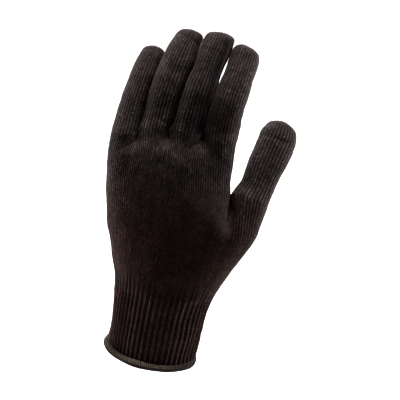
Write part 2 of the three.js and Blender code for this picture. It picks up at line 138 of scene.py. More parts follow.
# Swells (+) and dents (-) of the cloth over the hand's back: wale, s, height, half sizes in wales and in s, slant in
# wales a millimetre.
SWELLS = dict(cols=("wale", "s", "height", "wide", "long", "slant"), rows=[
    (8.5, 149.0, 1.0, 5.0, 8.0, 0.0),           # knuckles
    (23.5, 150.0, 0.8, 5.5, 9.0, 0.0),
    (40.5, 150.0, 0.8, 5.5, 9.0, 0.0),
    (58.5, 150.0, 0.6, 5.0, 9.0, 0.0),
    (16.5, 153.5, 0.6, 3.2, 4.5, 0.5),          # cloth bunched under the crotches
    (32.0, 158.0, 0.9, 2.6, 5.0, 0.0),
    (49.5, 160.0, 0.6, 4.0, 5.5, 0.0),
    (57.0, 163.0, 0.9, 4.0, 6.0, -0.5),
    (11.5, 156.0, -0.5, 1.2, 6.5, 0.62),
    (28.6, 162.0, -0.5, 0.9, 5.0, 0.35),
    (45.6, 165.0, -0.6, 0.9, 5.0, 0.45),
    (64.5, 161.0, -0.5, 1.6, 1.6, -0.45),
    (60.0, 113.0, 2.8, 5.2, 13.0, -0.16),       # fold of the thumb's web, and the valley beside it
    (66.8, 121.0, -2.8, 2.6, 11.0, -0.10),
    (71.5, 108.0, 0.7, 2.4, 11.0, 0.0),
    (54.0, 119.0, -0.6, 2.6, 11.0, -0.16),
])
# The same on the thumb: wale from its inner edge, t, height, half sizes, slant.
THUMB_SWELLS = [(8.0, 45.5, -0.35, 7.0, 1.9, 0.0), (8.0, 50.0, 0.3, 7.0, 2.6, 0.0), (8.0, 41.0, 0.3, 6.0, 2.6, 0.0),
                (11.0, 3.0, 0.3, 4.0, 9.0, 0.0)]
# And on the fingers: finger, then the same.
FINGER_SWELLS = [("little", 7.0, 62.0, -0.45, 7.0, 0.9, 0.0), ("little", 8.0, 36.0, -0.25, 6.0, 1.5, 0.3),
                 ("ring", 8.0, 74.0, -0.3, 7.0, 1.0, 0.0), ("ring", 8.0, 42.0, 0.3, 7.0, 4.0, 0.0),
                 ("middle", 8.0, 62.0, -0.35, 7.0, 1.4, 0.0), ("middle", 8.0, 40.0, 0.35, 7.0, 4.5, 0.0),
                 ("index", 8.0, 48.0, -0.3, 7.0, 1.3, 0.2), ("index", 8.0, 38.0, 0.35, 7.0, 4.0, 0.0),
                 ("index", 12.0, 6.0, -0.5, 4.0, 1.6, 0.2)]


# ---------------------------------------------------------------- curves
def smooth(a, b, x):
    t = np.clip((np.asarray(x, float) - a) / (b - a), 0, 1)
    return t * t * (3 - 2 * t)


def hermite(xs, ys, x):
    xs = np.asarray(xs, float); ys = np.asarray(ys, float); x = np.asarray(x, float)
    d = np.gradient(ys, xs)
    i = np.clip(np.searchsorted(xs, x, side="right") - 1, 0, len(xs) - 2)
    h = xs[i + 1] - xs[i]
    t = np.clip((x - xs[i]) / h, 0, 1)
    return ((2*t**3 - 3*t**2 + 1) * ys[i] + (t**3 - 2*t**2 + t) * h * d[i]
            + (-2*t**3 + 3*t**2) * ys[i+1] + (t**3 - t**2) * h * d[i+1])


def column(table, name, x):
    rows = np.array(table["rows"], float)
    return hermite(rows[:, 0], rows[:, table["cols"].index(name)], x)


def tilt(s):
    return HEAD_TILT * smooth(46, 92, s) + KNUCKLE_TILT * smooth(136, 170, s)


_S = np.arange(0, 330.01, 0.25)
_T = np.radians(tilt(_S))
_Y = np.concatenate([[0], np.cumsum(0.5 * (np.sin(_T[1:]) + np.sin(_T[:-1])) * 0.25)])
_Z = np.concatenate([[0], np.cumsum(0.5 * (np.cos(_T[1:]) + np.cos(_T[:-1])) * 0.25)])


def spine(s):
    """Point, direction and front-to-back axis of the hand's centre line at s."""
    s = np.asarray(s, float)
    a = np.radians(tilt(s))
    o = np.zeros_like(s)
    c = np.stack([o, np.interp(s, _S, _Y), np.interp(s, _S, _Z) + LIFT], -1)
    return c, np.stack([o, np.sin(a), np.cos(a)], -1), np.stack([o, np.cos(a), -np.sin(a)], -1)


def arc(half, n, depth):
    """A half superellipse: angle, points and share of its length, from the -x end to the +x end."""
    th = np.linspace(np.pi, 0, 241)
    c, s = np.cos(th), np.maximum(np.sin(th), 0)
    x, y = np.sign(c) * np.abs(c) ** (2 / n) * half, s ** (2 / n) * depth
    run = np.concatenate([[0], np.cumsum(np.hypot(np.diff(x), np.diff(y)))])
    return th, x, y, run / run[-1]


def section(fr, half, n, depth, side):
    th, x, y, run = arc(half, n, depth)
    return np.interp(fr, run, x), side * np.interp(fr, run, y)


# ---------------------------------------------------------------- fingers
ELEVATION = 22.0                            # the camera's, degrees down
_e = math.radians(ELEVATION)
AWAY, RISE = np.array([0, math.cos(_e), -math.sin(_e)]), np.array([0, math.sin(_e), math.cos(_e)])


def finger_row(name):
    return next(dict(zip(FINGERS["cols"], r)) for r in FINGERS["rows"] if r[0] == name)


def finger_line(name):
    """A finger's centre line: distance from its crotch, point, heading and curl."""
    f, k = finger_row(name), ORDER.index(name)
    (xa, sa), (xb, sb) = CROTCH["rows"][k], CROTCH["rows"][k + 1]
    s0 = 0.5 * (sa + sb)
    base = spine(s0)[0] + np.array([0.5 * (xa + xb), 0, 0])
    t = np.arange(0, f["length"] + 0.01, 0.5)
    q = t / f["length"]
    head = f["h0"] + (f["h1"] - f["h0"]) * smooth(0.05, 0.5, q) + (f["h2"] - f["h1"]) * smooth(0.45, 0.95, q)
    curl = f["c0"] + (f["c1"] - f["c0"]) * smooth(0.24, 0.50, q) + (f["c2"] - f["c1"]) * smooth(0.55, 0.80, q)
    h, c = np.radians(head), np.radians(curl)
    d = np.stack([np.sin(h), np.cos(h) * np.sin(c), np.cos(h) * np.cos(c)], -1)
    p = base + np.concatenate([np.zeros((1, 3)), np.cumsum(0.5 * (d[1:] + d[:-1]) * np.diff(t)[:, None], 0)])
    behind = f["back0"] * smooth(0.0, 0.42, q) + (f["back1"] - f["back0"]) * smooth(0.45, 0.85, q)
    return t, p + behind[:, None] * AWAY, h, c


LINES = {name: finger_line(name) for name in ORDER}


def finger_ring(name, t, fr, side):
    """Outer surface of a finger at distance t from its crotch, at wale fractions fr of one side."""
    f, k = finger_row(name), ORDER.index(name)
    tt, pp, hh, cc = LINES[name]
    length, cap = f["length"], FINGER_CAP
    tc = min(max(t, 0), length)
    c = np.array([np.interp(tc, tt, pp[:, j]) for j in range(3)])
    h, u = np.interp(tc, tt, hh), np.interp(tc, tt, cc)
    lat = np.array([np.cos(h), -np.sin(h) * np.sin(u), -np.sin(h) * np.cos(u)])
    dep = np.array([0, np.cos(u), -np.sin(u)])
    (xa, sa), (xb, sb) = CROTCH["rows"][k], CROTCH["rows"][k + 1]
    a_, b_ = spine(sa)[0] + np.array([xa, 0, 0]), spine(sb)[0] + np.array([xb, 0, 0])
    root, run = 0.5 * (a_ + b_), b_ - a_
    rw = 0.5 * np.linalg.norm(run)
    run = run / (2 * rw)
    q = tc / length
    w = float(hermite(WIDTH_AT, [f[j] for j in ("w0", "w1", "w2", "w3")], q))
    d = w * f["flat"]
    a = 1 - smooth(0, 12, tc)                     # share of the root ring, which runs from crotch to crotch
    lat = run * a + lat * (1 - a); lat /= np.linalg.norm(lat)
    dep = spine(0.5 * (sa + sb))[2] * a + dep * (1 - a); dep /= np.linalg.norm(dep)
    w = rw * a + w * (1 - a)
    d = d + a * 1.3
    turn = 0.0
    if t > length - cap:                          # rings shrink to a short line across the tip
        turn = (t - (length - cap)) / cap * np.pi / 2
        w = w * (f["blunt"] + (1 - f["blunt"]) * max(np.cos(turn), 0) ** 0.75)
        d = d * max(np.cos(turn), 0) ** 0.9
        c = np.array([np.interp(length - cap + cap * np.sin(turn), tt, pp[:, j]) for j in range(3)])
    x, y = section(fr, w, 2.15, d, side)
    full = 0.8 * math.exp(-((t - 5.5) / 4.0) ** 2)        # cloth crowded just above a crotch
    wider = next((row[3] for row in CONTACTS["rows"] if row[0] == name), 0.0) * 1.06 * pressed(q)
    x = x * (1 + np.where(x > 0, full * (name != "index") + wider, full * (name != "little")) / w)
    points = c + x[:, None] * lat + y[:, None] * dep
    if turn:
        part = x / max(w, 1e-6)
        points = points + np.cross(lat, dep)[None, :] * (np.sin(turn) * (f["skew"] * part - 1.6 * part ** 2))[:, None]
    return points


# ---------------------------------------------------------------- thumb
def thumb_point(t):
    t = np.asarray(t, float)
    x, y, s = (column(THUMB, k, t) for k in ("x", "y", "s"))
    a, straight = np.radians(HEAD_TILT), 130.0
    c0, _, d0 = spine(np.minimum(s, straight))
    c = c0 + np.maximum(s - straight, 0)[..., None] * np.array([0, np.sin(a), np.cos(a)])
    back = column(THUMB, "back", t)
    return c + x[..., None] * np.array([1.0, 0, 0]) + y[..., None] * d0 + back[..., None] * AWAY


def thumb_ring(t, fr, side):
    length, cap = THUMB_LENGTH, THUMB_CAP
    tc, turn = min(t, length), 0.0
    w = float(column(THUMB, "half", tc))
    if t > length - cap:
        turn = (t - (length - cap)) / cap * np.pi / 2
        tc = length - cap + cap * np.sin(turn)
    c = thumb_point(tc)
    tan = thumb_point(min(tc + 1.0, length)) - thumb_point(tc - 1.0)
    tan /= np.linalg.norm(tan)
    lat = np.array([1.0, 0, 0]) - tan * tan[0]; lat /= np.linalg.norm(lat)
    dep = np.cross(tan, lat)
    d = w * THUMB_FLAT
    if t <= 0:                                    # rings below the crotch follow the hand's rows
        k = smooth(-30, 0, t)
        lat = np.array([1.0, 0, 0]) * (1 - k) + lat * k; lat /= np.linalg.norm(lat)
    if turn:
        w = w * (0.42 + 0.58 * max(np.cos(turn), 0) ** 0.8)
        d = d * max(np.cos(turn), 0) ** 0.9
    x, y = section(fr, w, 2.1, d, side)
    points = c + x[:, None] * lat + y[:, None] * dep
    if turn:
        part = x / max(w, 1e-6)
        points = points + tan * (np.sin(turn) * (-0.5 * part - 2.2 * part ** 2))[:, None]
    return points


# ---------------------------------------------------------------- hand
def hand_params(s, edge):
    left, right = column(HAND, "left", s), column(HAND, edge, s)
    return 0.5 * (left + right), 0.5 * (right - left), column(HAND, "front", s), column(HAND, "back", s), column(HAND, "square", s)


def hand_points(s, fr, side, edge):
    """Points of the hand's section; s may vary from wale to wale."""
    s = np.broadcast_to(np.asarray(s, float), fr.shape)
    xc, a, f, b, n = hand_params(s, edge)
    _, am, fm, bm, nm = (float(v) for v in hand_params(float(np.mean(s)), edge))
    th, _, _, run = arc(am, nm, fm if side < 0 else bm)
    th = np.interp(fr, run, th)
    c, sn = np.cos(th), np.maximum(np.sin(th), 0)
    x = xc + np.sign(c) * np.abs(c) ** (2 / n) * a
    y = side * sn ** (2 / n) * (f if side < 0 else b)
    at, _, deep = spine(s)
    return at + x[:, None] * np.array([1.0, 0, 0]) + y[:, None] * deep


def side_point(s):
    at = spine(s)[0]
    xc, a, _, _, _ = hand_params(s, "palm")
    return at + (xc + a) * np.array([1.0, 0, 0])


def thumb_side(t, fr, side):
    """Thumb ring whose inner side is drawn to the hand's edge at and below the crotch."""
    points = thumb_ring(t, fr, side)
    k = (1 - smooth(0, 5.0, t)) ** 2.4 if t > 0 else 1.0
    if k > 0:
        first = thumb_ring(t, np.array([0.0]), side)[0]
        s_t = THUMB_CROTCH["s"]
        target = side_point(s_t + min(t, 0)) if t <= 0 else side_point(s_t) + (thumb_point(t) - thumb_point(0))
        points = points + k * ((1 - fr) ** 1.5)[:, None] * (target - first)
    return points


def share_at(edge, s, xs, ends):
    """Shares of the front arc's length at which it reaches these x."""
    xc, a, f, _, n = (float(v) for v in hand_params(s, edge))
    _, x, _, run = arc(a, n, f)
    return [0.0] + [float(np.interp(v, x + xc, run)) for v in xs] + ends


FRONT_SHARES = share_at("palm", 168.0, [r[0] for r in CROTCH["rows"][1:4]], [1.0])
WIDE_SHARES = share_at("wide", THUMB_CROTCH["s"], [r[0] * 0.99 for r in CROTCH["rows"][1:4]] + [THUMB_CROTCH["x"]], [1.0])


CUFF_SHARES = [0.0, 0.155, 0.34, 0.56, 0.79, 1.0]


def front_fraction(u):
    return hermite(BOUND[:5], FRONT_SHARES, u)


def wide_fraction(u, s):
    """Wales lie closer on the left of the wrist, and each under its own finger at the thumb's crotch."""
    k = float(smooth(50, THUMB_CROTCH["s"], s))
    return (1 - k) * hermite(BOUND, CUFF_SHARES, u) + k * hermite(BOUND, WIDE_SHARES, u)


def both_sides(count, one):
    """A closed ring: the front wales from the little finger's side, then the back ones."""
    out = []
    for side in (-1, 1):
        u = np.arange(0, count * COLUMNS + 1) / COLUMNS
        if side > 0:
            u = u[::-1]
        p = one(u, side)
        out.append(p if side < 0 else p[1:-1])
    return np.concatenate(out)


def lower_row(s):
    s_t = THUMB_CROTCH["s"]
    def one(u, side):
        p = hand_points(s, wide_fraction(u, s), side, "wide")
        w = np.clip((s - (s_t - THUMB_BLEND)) / THUMB_BLEND, 0, 1) ** 2.0
        if w > 0:
            q = np.empty_like(p)
            i = u <= PALM_WALES
            q[i] = hand_points(s, front_fraction(u[i]), side, "palm")
            q[~i] = thumb_side(s - s_t, (u[~i] - PALM_WALES) / (WIDE_WALES - PALM_WALES), side)
            p = (1 - w) * p + w * q
        return p
    return both_sides(WIDE_WALES, one)


def crotch_s(u):
    return np.interp(u, BOUND[:5], [r[1] for r in CROTCH["rows"]])


def upper_row(r):
    """Ring of the hand between the thumb's crotch (r = 0) and the fingers' crotches (r = 1)."""
    s_t = THUMB_CROTCH["s"]
    def one(u, side):
        sc = crotch_s(u)
        s = s_t + r * (sc - s_t)
        p = hand_points(s, front_fraction(u), side, "palm")
        w = np.clip((s - (sc - FINGER_BLEND)) / FINGER_BLEND, 0, 1)[:, None] ** 2.2
        if r > 0.3:
            q = np.empty_like(p)
            for k, name in enumerate(ORDER):
                i = (u >= BOUND[k]) & (u <= BOUND[k + 1])
                q[i] = finger_ring(name, 0.0, (u[i] - BOUND[k]) / (BOUND[k + 1] - BOUND[k]), side)
            q = q + spine(s)[0] - spine(sc)[0]
            p = (1 - w) * p + w * q
        return p
    return both_sides(PALM_WALES, one)


def tube_row(name, t):
    k = ORDER.index(name) if name != "thumb" else 4
    wales = BOUND[k + 1] - BOUND[k]
    make = (lambda u, side: thumb_side(t, u / wales, side)) if name == "thumb" else (
        lambda u, side: finger_ring(name, t, u / wales, side))
    return both_sides(wales, make)


def tube_steps(name):
    """Distances t whose rings lie one mesh row apart along the cloth, the rounded tip included."""
    length = THUMB_LENGTH if name == "thumb" else finger_row(name)["length"]
    fine = np.linspace(0, length, 300)
    mid = []
    for t in fine:
        ring = tube_row(name, float(t))
        mid.append(ring[len(ring) // 4])
    run = np.concatenate([[0], np.cumsum(np.linalg.norm(np.diff(np.array(mid), axis=0), axis=1))])
    rows = int(round(run[-1] / TUBE_COURSE)) * TUBE_ROWS
    return np.interp(np.linspace(0, run[-1], rows + 1), run, fine)


# ---------------------------------------------------------------- the welded surface
S_T = THUMB_CROTCH["s"]
cuff_s = np.linspace(CUFF_FROM, CUFF_TO, CUFF_COURSES * CUFF_ROWS + 1)
hand_s = np.linspace(CUFF_TO, S_T, HAND_COURSES * HAND_ROWS + 1)[1:]
lower_s = np.concatenate([cuff_s, hand_s])
lower_v = np.concatenate([np.arange(len(cuff_s)) / CUFF_ROWS, CUFF_COURSES + np.arange(1, len(hand_s) + 1) / HAND_ROWS])
CUFF_LAST = len(cuff_s) - 1
web_r = np.linspace(0, 1, WEB_COURSES * WEB_ROWS + 1)

grids, courses, along = {}, {}, {}
grids["lower"] = np.array([lower_row(s) for s in lower_s])
courses["lower"], along["lower"] = lower_v, lower_s
grids["upper"] = np.array([upper_row(r) for r in web_r])
courses["upper"], along["upper"] = np.arange(len(web_r)) / WEB_ROWS, web_r
for name in ORDER + ["thumb"]:
    steps = tube_steps(name)
    grids[name] = np.array([tube_row(name, float(t)) for t in steps])
    courses[name], along[name] = np.arange(len(steps)) / TUBE_ROWS, steps

PAINTED_SHADE = {}

# Fingers press on each other: past the surface where two meet, each one's side is pushed back to it.
def press(left, right, tilted, offset, fall_left, fall_right, painted_shade_left, painted_shade_right):
    """Parts two neighbouring fingers along a slanting surface between their centre lines."""
    lines = {}
    for name in (left, right):
        t, p, _, _ = LINES[name]
        f = finger_row(name)
        w = hermite(WIDTH_AT, [f[j] for j in ("w0", "w1", "w2", "w3")], t / f["length"])
        lines[name] = (p @ RISE, p[:, 0], p @ AWAY, w)
    for name, sign, fall, painted_shade in ((left, 1, fall_left, painted_shade_left), (right, -1, fall_right, painted_shade_right)):
        g = grids[name]
        v, d = g @ RISE, g @ AWAY
        xa, da, wa = (np.interp(v, lines[left][0], lines[left][j]) for j in (1, 2, 3))
        xb, db, wb = (np.interp(v, lines[right][0], lines[right][j]) for j in (1, 2, 3))
        share = np.interp(v, lines[left][0], LINES[left][0] / finger_row(left)["length"])
        middle = 0.5 * (xa + wa + xb - wb) + offset * pressed(share) + tilted * (d - 0.5 * (da + db))
        over = sign * (g[..., 0] - middle) + 0.12
        soft = 0.5
        push = np.where(over > soft, over, np.where(over > -soft, (over + soft) ** 2 / (4 * soft), 0))
        both = (1 - smooth(-4, 6, v - lines[left][0][-1])) * (1 - smooth(-4, 6, v - lines[right][0][-1]))
        ramp = smooth(0.0, 7.0, along[name])[:, None]
        beside = np.exp(-(np.minimum(over, 0) / 3.2) ** 2) * smooth(1.0, -5.0, d - 0.5 * (da + db)) * both
        g += (fall * beside * ramp)[..., None] * AWAY
        # painted shade: the yarn's tone is darkened beside the contact, in the crevice between the two fingers
        near = np.exp(-(np.minimum(over + 1.6, 0) / 2.4) ** 2) * smooth(3.0, -1.0, d - 0.5 * (da + db)) * both
        PAINTED_SHADE[name] = PAINTED_SHADE.get(name, 0) + painted_shade * near * smooth(0.0, 3.0, along[name])[:, None]
        g[..., 0] -= sign * push * ramp * both


for row in CONTACTS["rows"]:
    press(*row)

# Vertex numbers: each grid has its own, except where its edge is another's.
ids, total = {}, 0
for name, g in grids.items():
    ids[name] = total + np.arange(g.shape[0] * g.shape[1]).reshape(g.shape[:2])
    total += g.shape[0] * g.shape[1]
LOW_N, UP_N = 2 * WIDE_WALES * COLUMNS, 2 * PALM_WALES * COLUMNS
low, up = ids["lower"], ids["upper"]
edge = PALM_WALES * COLUMNS
low[-1, LOW_N - edge] = low[-1, edge]
i = np.arange(edge + 1)
up[0, i] = low[-1, i]
i = np.arange(1, edge)
up[0, UP_N - i] = low[-1, LOW_N - i]
for b in BOUND[1:4]:
    up[-1, UP_N - b * COLUMNS] = up[-1, b * COLUMNS]
for k, name in enumerate(ORDER + ["thumb"]):
    one, parent, n_parent = ids[name], (up if k < 4 else low), (UP_N if k < 4 else LOW_N)
    half = one.shape[1] // 2
    i = np.arange(half + 1)
    one[0, i] = parent[-1, BOUND[k] * COLUMNS + i]
    i = np.arange(1, half)
    one[0, 2 * half - i] = parent[-1, n_parent - (BOUND[k] * COLUMNS + i)]
    one[-1, 2 * half - i] = one[-1, i]            # the tip closes on itself, front to back

BASE = np.zeros((total, 3))
for name in reversed(list(grids)):
    BASE[ids[name].ravel()] = grids[name].reshape(-1, 3)


def quads(idx):
    """Faces of a ring grid, with the normal outwards."""
    a, b = idx[:-1], idx[1:]
    return np.stack([a, np.roll(a, -1, 1), np.roll(b, -1, 1), b], -1).reshape(-1, 4)


ALL_QUADS = np.concatenate([quads(ids[n]) for n in grids])


def vertex_normals(points, faces):
    p = points[faces]
    n = np.cross(p[:, 2] - p[:, 0], p[:, 3] - p[:, 1])
    n /= np.maximum(np.linalg.norm(n, axis=1), 1e-9)[:, None] ** 0.5
    out = np.stack([np.bincount(faces.ravel(), np.repeat(n[:, c], 4), len(points)) for c in range(3)], -1)
    return out / np.maximum(np.linalg.norm(out, axis=1), 1e-9)[:, None]


def lumps(points, size, seed, waves=22):
    """Smooth noise of about unit height over points, with bumps of this size."""
    rng = np.random.default_rng(seed)
    k = rng.normal(size=(waves, 3))
    k *= (2 * np.pi / size * rng.uniform(0.6, 1.4, waves) / np.linalg.norm(k, axis=1))[:, None]
    phase = rng.uniform(0, 2 * np.pi, waves)
    out = np.zeros(len(points))
    for j in range(waves):
        out += np.sin(points @ k[j] + phase[j])
    return out / math.sqrt(waves / 2)


# ---------------------------------------------------------------- swells, folds, ribs and stitches
def ring_wales(idx):
    """Wale coordinate of each column round a ring."""
    return np.arange(idx.shape[1]) / COLUMNS


def front_wale(idx):
    """Wale from the little finger's side, and 1 on the front or 0 behind."""
    n = idx.shape[1] / COLUMNS
    u = ring_wales(idx)
    return np.where(u <= n / 2, u, n - u), (u <= n / 2).astype(float)


def swells(wale, s, front):
    out = np.zeros(np.broadcast(wale, s).shape)
    for row in SWELLS["rows"]:
        w = dict(zip(SWELLS["cols"], row))
        a = (wale - w["wale"] - w["slant"] * (s - w["s"])) / w["wide"]
        out += w["height"] * np.exp(-a ** 2 - ((s - w["s"]) / w["long"]) ** 2)
    return out * front


height = np.zeros(total)       # swells and folds
rib = np.zeros(total)          # 0 to 1 down into a rib's furrow
stitch = np.zeros(total)       # the yarn's relief
shift = np.zeros(total)        # the legs' lean along the ring, in wales
tone = np.zeros(total)         # brightness of the yarn: random heather, with painted shade (0 in the gaps between wales, lower in the crevices between fingers) and painted light on the raised loops
browner_and_darker = np.zeros(total)         # 1 where the yarn is browner and darker, from the cuff to the middle of the hand: its own browner colour, with painted shade over the lower hand
rng = np.random.default_rng(SEED)


def put(target, idx, values):
    target[idx.ravel()] = np.broadcast_to(values, idx.shape).ravel()


def knit(name, rows_a_course):
    """Relief and lean of the two legs of every stitch in a grid."""
    idx = ids[name]
    u = np.arange(idx.shape[1])
    a = (u % COLUMNS) / COLUMNS                               # 0 between two wales, 0.5 at a wale's middle
    v = courses[name]
    phase = np.round((v % 1.0) * rows_a_course) % rows_a_course / max(rows_a_course - 1, 1)
    leg = np.where((a == 0.25) | (a == 0.75), 1.0, 0.0)
    gap = np.where(a == 0.0, 1.0, 0.0)
    mid = np.where(a == 0.5, 1.0, 0.0)
    loft = 0.5 - np.abs(phase - 0.5) if rows_a_course > 2 else np.where(phase > 0.5, 0.0, 0.5)
    relief = (leg[None, :] * (0.14 + 0.28 * loft[:, None]) - gap[None, :] * 0.42
              + mid[None, :] * (0.02 + 0.10 * loft[:, None]))
    outward = np.where(a == 0.25, -1.0, np.where(a == 0.75, 1.0, 0.0))[None, :]
    lean = outward * ((phase[:, None] - 0.5) * 0.22 - 0.05)
    wales, rows = idx.shape[1] // COLUMNS, int(v[-1]) + 2
    each = rng.normal(size=(rows, wales)) * 0.045
    at_row = np.floor(v + 1e-6).astype(int)
    relief = relief + each[at_row][:, u // COLUMNS] * (leg + mid)[None, :]
    # heathered yarn: every stitch and each of its two legs has its own brightness
    legs = (rng.normal(size=(rows, wales)) * 0.24 + rng.normal(size=(1, wales)) * 0.10).repeat(2, axis=1)
    legs = legs + rng.normal(size=(rows, wales * 2)) * 0.20 + 0.05
    bright = np.exp(legs)[at_row][:, u // (COLUMNS // 2)]
    # painted shade and light: the yarn's tone is 0 in the gaps between wales, where shade falls, and lighter where the
    # loops stand up (loft)
    across = leg * 0.66 + mid * 1.15 + gap * 0.0
    light = across[None, :] * (0.68 + 0.66 * loft[:, None])
    return relief, lean, light * bright


for name in list(grids)[::-1]:
    rows = {"lower": HAND_ROWS, "upper": WEB_ROWS}.get(name, TUBE_ROWS)
    idx = ids[name]
    made = knit(name, rows)
    if name == "lower":
        for whole, cuff in zip(made, knit(name, CUFF_ROWS)):
            whole[:CUFF_LAST + 1] = cuff[:CUFF_LAST + 1]
    for store, values in zip((stitch, shift, tone), made):
        put(store, idx, values)

# painted shade in the crevices between fingers: each finger's yarn is darkened beside its contacts
for name, values in PAINTED_SHADE.items():
    tone[ids[name].ravel()] *= 1 - np.clip(values, 0, 0.95).ravel()

# Ribs: crest over the plain wales, furrow over the purl ones; they run out into the hand at uneven heights.
u = ring_wales(low)
rib_place = (u - FIRST_FURROW) * RIBS / (2 * WIDE_WALES)
wave = 0.5 - 0.5 * np.cos(2 * np.pi * rib_place)
wave = 1 - wave ** 1.35
ends = rng.normal(size=RIBS) * 3.0
rib_no = np.floor(rib_place).astype(int) % RIBS
turn_on = 66.0 + ends[rib_no] + 8.0 * np.exp(-(front_wale(low)[0] / 18.0) ** 2)
fade = 1 - smooth(-13.0, 5.0, lower_s[:, None] - turn_on[None, :])
depth = 0.96 + 0.06 * rng.normal(size=RIBS)[rib_no]
put(rib, low, wave[None, :] * fade * depth[None, :])

# Swells over the back of the hand, the thumb and the fingers.
w_, f_ = front_wale(low)
put(height, low, swells(w_[None, :], lower_s[:, None], f_[None, :]))
w_, f_ = front_wale(up)
s_up = S_T + web_r[:, None] * (crotch_s(w_)[None, :] - S_T)
put(height, up, swells(w_[None, :], s_up, f_[None, :]))
for name in ORDER + ["thumb"]:
    w_, f_ = front_wale(ids[name])
    rows = THUMB_SWELLS if name == "thumb" else [r[1:] for r in FINGER_SWELLS if r[0] == name]
    extra = sum(h * np.exp(-((w_[None, :] - w0) / wide) ** 2 - ((along[name][:, None] - t0 - slant * (w_[None, :] - w0)) / size) ** 2)
                for w0, t0, h, wide, size, slant in rows)
    fresh = np.ones(len(along[name]), bool)
    fresh[0] = False                         # the first row belongs to the hand
    put(height, ids[name][fresh], (extra * f_[None, :])[fresh])

# browner and darker towards the cuff: partly the yarn's own colour, partly painted shade on the lower hand
browner_and_darker[low] = (1 - smooth(88, 160, lower_s))[:, None]
browner_and_darker[up] = (1 - smooth(88, 160, s_up))
NORMAL = vertex_normals(BASE, ALL_QUADS)
height += 0.22 * lumps(BASE, 24.0, SEED + 1) + 0.07 * lumps(BASE, 9.0, SEED + 2)
height[low] += 0.3 * (1 - smooth(50, 62, lower_s))[:, None]

# Along the ring, for the legs' lean.
tangent = np.zeros((total, 3))
pitch = np.ones(total)
for name in list(grids)[::-1]:
    g, idx = grids[name], ids[name]
    d = np.roll(g, -1, 1) - np.roll(g, 1, 1)
    length = np.linalg.norm(d, axis=2)
    ok = length > 1e-6
    d = np.where(ok[..., None], d / np.maximum(length, 1e-6)[..., None], 0)
    tangent[idx.ravel()] = d.reshape(-1, 3)
    pitch[idx.ravel()] = (length * COLUMNS / 2).ravel()
tips = np.concatenate([ids[n][-1] for n in ORDER + ["thumb"]])
shift[tips] = 0
for b in BOUND[:5]:
    for row in (up[-1, b * COLUMNS], up[-1, -b * COLUMNS]):
        shift[row] = 0

relief_scale = np.clip(pitch / 1.5, 0.55, 1.1)
relief = stitch * relief_scale * (1 - 0.35 * rib)
sunk = np.ones(total)          # the ribs are shallower in the hand's thinner cloth
sunk[low] = (1 - 0.5 * smooth(48, 57, lower_s))[:, None]
OUTER = BASE + NORMAL * (height + relief - RIB_DEPTH * rib * sunk)[:, None] + tangent * (shift * pitch)[:, None]
OUTER_NORMAL = vertex_normals(OUTER, ALL_QUADS)
print("welded surface", total, "vertices,", len(ALL_QUADS) * 2, "triangles")


# ---------------------------------------------------------------- pieces
def strip(outer, inner, up_facing):
    """Rim between a fine outer ring and a coarse inner one; both are closed rings that start together."""
    n, k = len(outer), len(inner)
    step = n // k
    tris = []
    o = np.arange(n)
    near = inner[(o // step + (o % step >= step // 2)) % k]
    tris.append(np.stack([outer, np.roll(outer, -1), near], -1))
    # at the middle of each step the fan moves on to the next inner point
    j = np.arange(k)
    m = outer[(j * step + step // 2) % n]
    tris.append(np.stack([inner, m, np.roll(inner, -1)], -1))
    t = np.concatenate(tris)
    return t if up_facing else t[:, ::-1]


def fine_to_coarse(idx, rows, stride=COLUMNS):
    return idx[rows][:, ::stride]


def coarse_rows(last, step, first=0):
    rows = list(range(first, last, step))
    return np.array(rows + [last])


